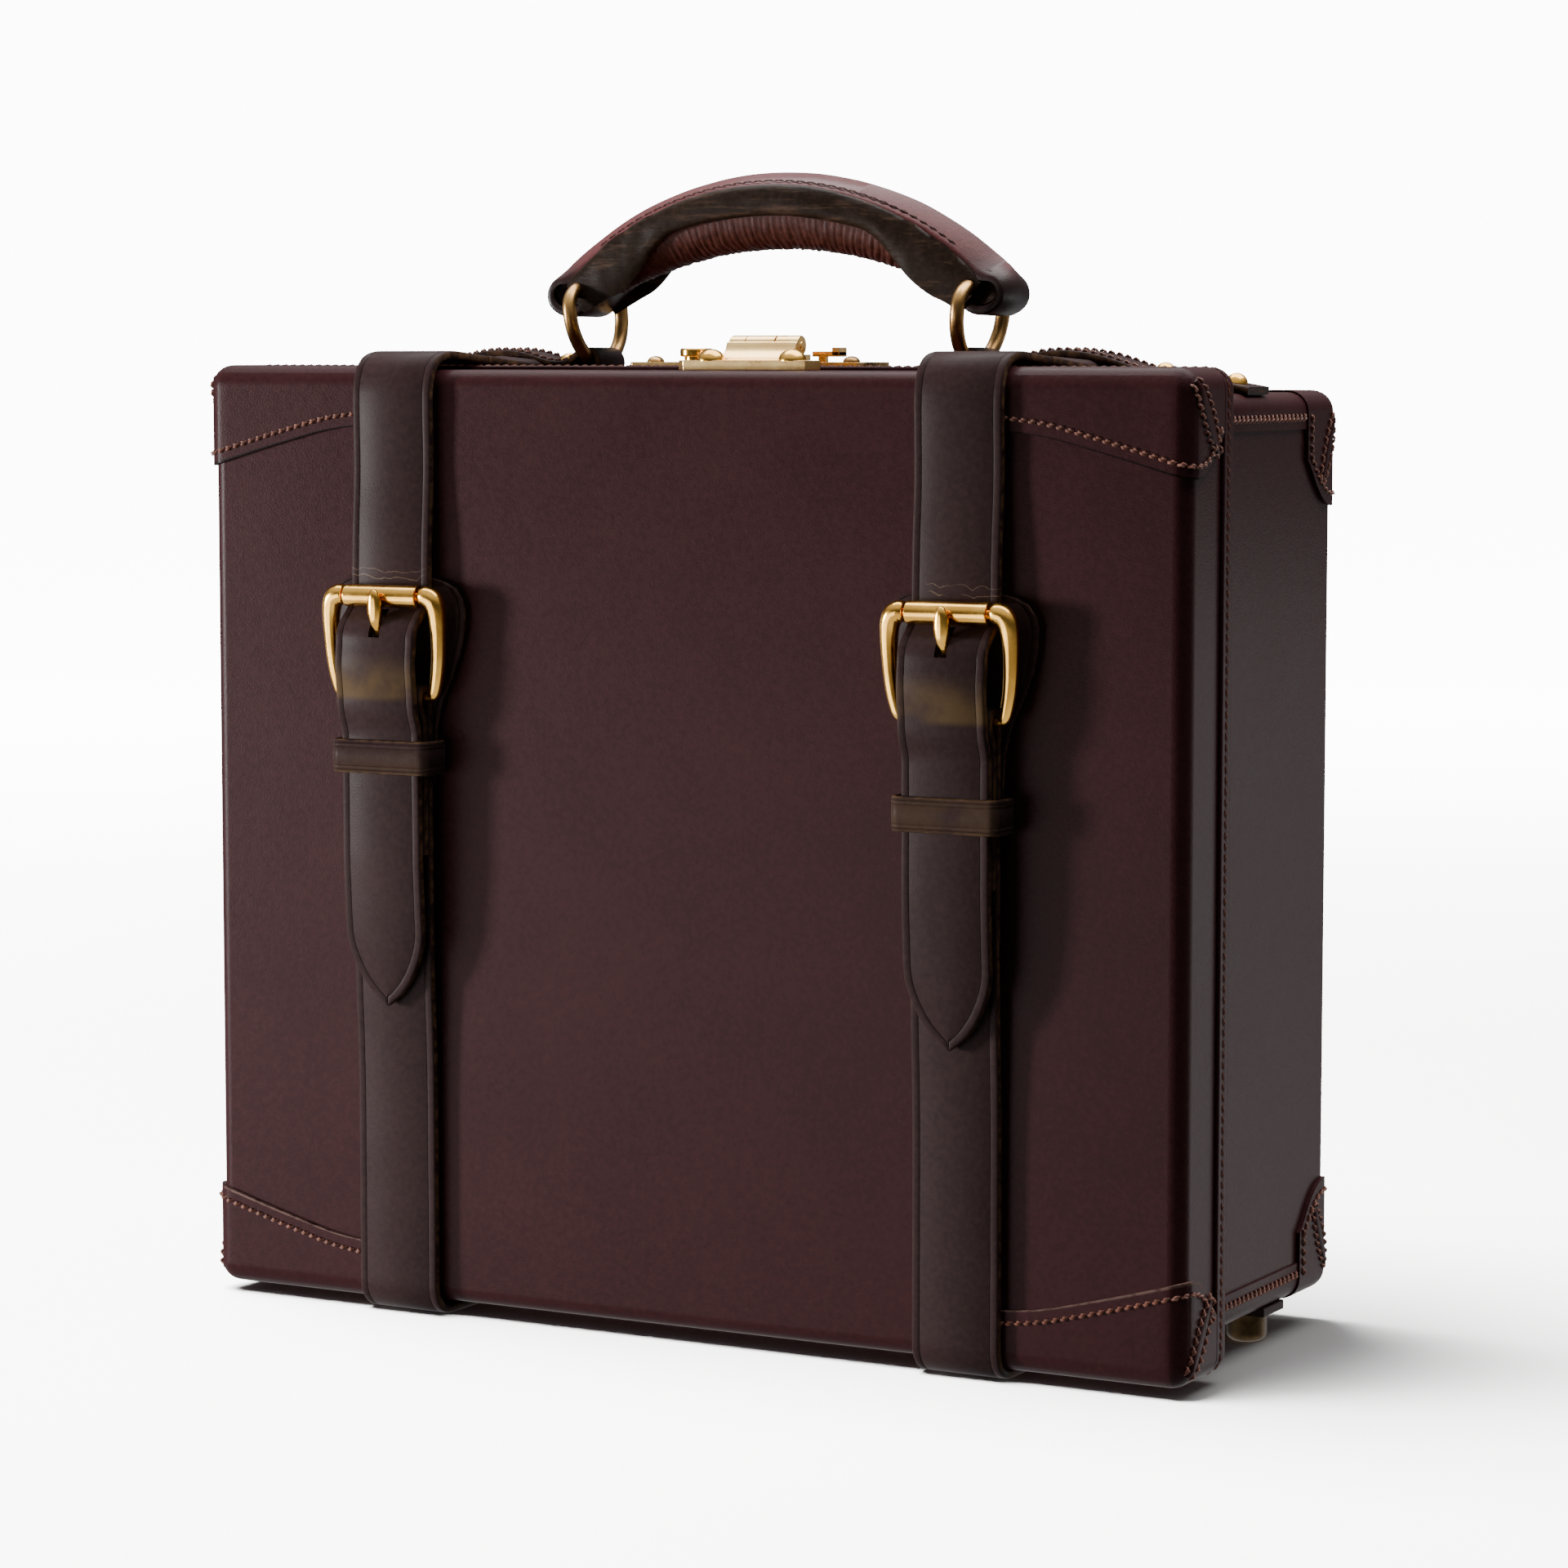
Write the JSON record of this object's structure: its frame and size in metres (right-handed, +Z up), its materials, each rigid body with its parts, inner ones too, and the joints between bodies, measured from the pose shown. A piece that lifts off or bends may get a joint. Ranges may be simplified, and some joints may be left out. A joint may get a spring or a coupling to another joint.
{
  "type": "flight bag",
  "caption": "Rigid leather flight bag with a hinged lid, buckled straps round it, a hasp lock on top and a padded handle on brass rings.",
  "frame": {"origin": "on the floor, under the middle of the closed bag's overall box", "axes": "+X to the right seen from the front, +Y from the lid towards the back, +Z up"},
  "size_m": [0.383, 0.165, 0.4022],
  "materials": {
    "case_leather": "smooth polished bridle leather",
    "strap_leather": "waxed bridle leather",
    "golden_brass": "polished",
    "satin_brass": "satin",
    "lining": "woven"
  },
  "bodies": {
    "case": {"body_shell": "case_leather", "body_lining": "lining", "body_cap_top_left": "case_leather", "body_cap_top_right": "case_leather", "body_cap_bottom_left": "case_leather", "body_cap_bottom_right": "case_leather", "body_hinge_leaves": "golden_brass", "hinge_pins": "golden_brass", "strap_rear_left": "strap_leather", "strap_rear_right": "strap_leather", "strip_packing_left": "case_leather", "strip_packing_right": "case_leather", "handle_strip_left": "strap_leather", "handle_strip_right": "strap_leather", "strip_domes": "golden_brass", "bottom_strip_left": "strap_leather", "bottom_strip_right": "strap_leather", "feet": "golden_brass", "lock_packing": "case_leather", "lock_plate": "satin_brass", "lock_rivets": "golden_brass", "key_cover_pin": "satin_brass"},
    "lid": {"lid_shell": "case_leather", "lid_lining": "lining", "rim_binding": "case_leather", "lid_cap_top_left": "case_leather", "lid_cap_top_right": "case_leather", "lid_cap_bottom_left": "case_leather", "lid_cap_bottom_right": "case_leather", "lid_hinge_leaves": "golden_brass", "strap_billet_left": "strap_leather", "strap_billet_right": "strap_leather", "strap_chape_left": "strap_leather", "strap_chape_right": "strap_leather", "buckle_frame_left": "golden_brass", "buckle_frame_right": "golden_brass", "buckle_safe_left": "strap_leather", "buckle_safe_right": "strap_leather", "hasp_plate": "satin_brass", "hasp_domes": "golden_brass", "hasp_pin": "satin_brass"},
    "handle": {"handle_cover": "case_leather", "handle_grip": "case_leather", "handle_welt_front": "strap_leather", "handle_welt_back": "strap_leather", "handle_ring_left": "golden_brass", "handle_ring_right": "golden_brass"},
    "hasp": {"hasp": "satin_brass"},
    "lock_slide": {"lock_slide": "satin_brass"},
    "key_cover": {"key_cover": "satin_brass"},
    "roller_left": {"buckle_roller_left": "golden_brass"},
    "roller_right": {"buckle_roller_right": "golden_brass"},
    "prong_left": {"buckle_prong_left": "golden_brass"},
    "prong_right": {"buckle_prong_right": "golden_brass"},
    "keeper_left": {"strap_keeper_left": "strap_leather"},
    "keeper_right": {"strap_keeper_right": "strap_leather"}
  },
  "joints": [
    {"name": "lid_hinge", "type": "hinge", "parent": "case", "child": "lid", "pos_m": [0, -0.02805, 0.01], "axis": [1, 0, 0], "range_deg": [0, 100]},
    {"name": "handle_swing", "type": "hinge", "parent": "case", "child": "handle", "pos_m": [0, 0.01425, 0.3535], "axis": [1, 0, 0], "range_deg": [-80, 50]},
    {"name": "hasp_swing", "type": "hinge", "parent": "lid", "child": "hasp", "pos_m": [0.018, -0.03045, 0.3417], "axis": [1, 0, 0], "range_deg": [0, 110]},
    {"name": "lock_slide_travel", "type": "slide", "parent": "case", "child": "lock_slide", "axis": [-1, 0, 0], "range_m": [0, 0.007]},
    {"name": "key_cover_swing", "type": "hinge", "parent": "case", "child": "key_cover", "pos_m": [-0.0175, -0.02285, 0.336], "axis": [0, 0, 1], "range_deg": [0, 120]},
    {"name": "roller_left_spin", "type": "hinge", "parent": "lid", "child": "roller_left", "pos_m": [-0.11, -0.07535, 0.2548], "axis": [1, 0, 0], "continuous": true},
    {"name": "prong_left_lift", "type": "hinge", "parent": "lid", "child": "prong_left", "pos_m": [-0.11, -0.07325, 0.2198], "axis": [1, 0, 0], "range_deg": [0, 4]},
    {"name": "keeper_left_slide", "type": "slide", "parent": "lid", "child": "keeper_left", "axis": [0, 0, 1], "range_m": [-0.016, 0.002]},
    {"name": "roller_right_spin", "type": "hinge", "parent": "lid", "child": "roller_right", "pos_m": [0.11, -0.07535, 0.2548], "axis": [1, 0, 0], "continuous": true},
    {"name": "prong_right_lift", "type": "hinge", "parent": "lid", "child": "prong_right", "pos_m": [0.11, -0.07325, 0.2198], "axis": [1, 0, 0], "range_deg": [0, 4]},
    {"name": "keeper_right_slide", "type": "slide", "parent": "lid", "child": "keeper_right", "axis": [0, 0, 1], "range_m": [-0.01, 0.01]}
  ]
}
